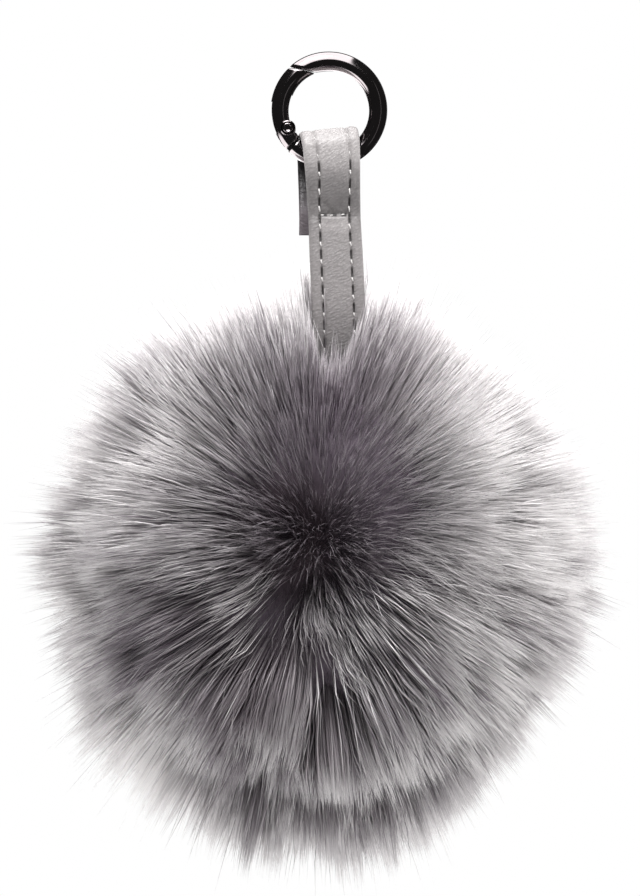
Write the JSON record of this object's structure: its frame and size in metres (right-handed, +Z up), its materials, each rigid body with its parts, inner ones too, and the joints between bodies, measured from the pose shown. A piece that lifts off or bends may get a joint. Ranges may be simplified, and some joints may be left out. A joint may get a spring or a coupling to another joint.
{
  "type": "pom pom bag charm",
  "caption": "Long-haired fur ball on a folded leatherette strap, hanging from a round spring-gate ring that clips onto a bag or key loop.",
  "frame": {"origin": "the point at the ring's inner top edge where the charm hangs, in the middle of the bar's width", "axes": "+Z up along the hanging charm, +X to the right and -Y to the front, where the fur's parting and the strap's stitched face are"},
  "size_m": [0.1491, 0.1416, 0.2114],
  "materials": {
    "fur": "long soft pile, dark at the roots and pale at the tips",
    "leatherette": "fine grain, satin",
    "dark_metal": "polished, black nickel plated"
  },
  "bodies": {
    "root": {"pompom": "fur", "strap": "leatherette", "ring_body": "dark_metal", "gate_rivet": "dark_metal"},
    "gate": {"ring_gate": "dark_metal"}
  },
  "joints": [
    {"name": "gate_hinge", "type": "hinge", "parent": "root", "child": "gate", "pos_m": [-0.0105, 0, -0.01471], "axis": [0, 1, 0], "range_deg": [0, 28], "stiffness_Nm_per_rad": 0.01, "springref_deg": -14.32}
  ]
}
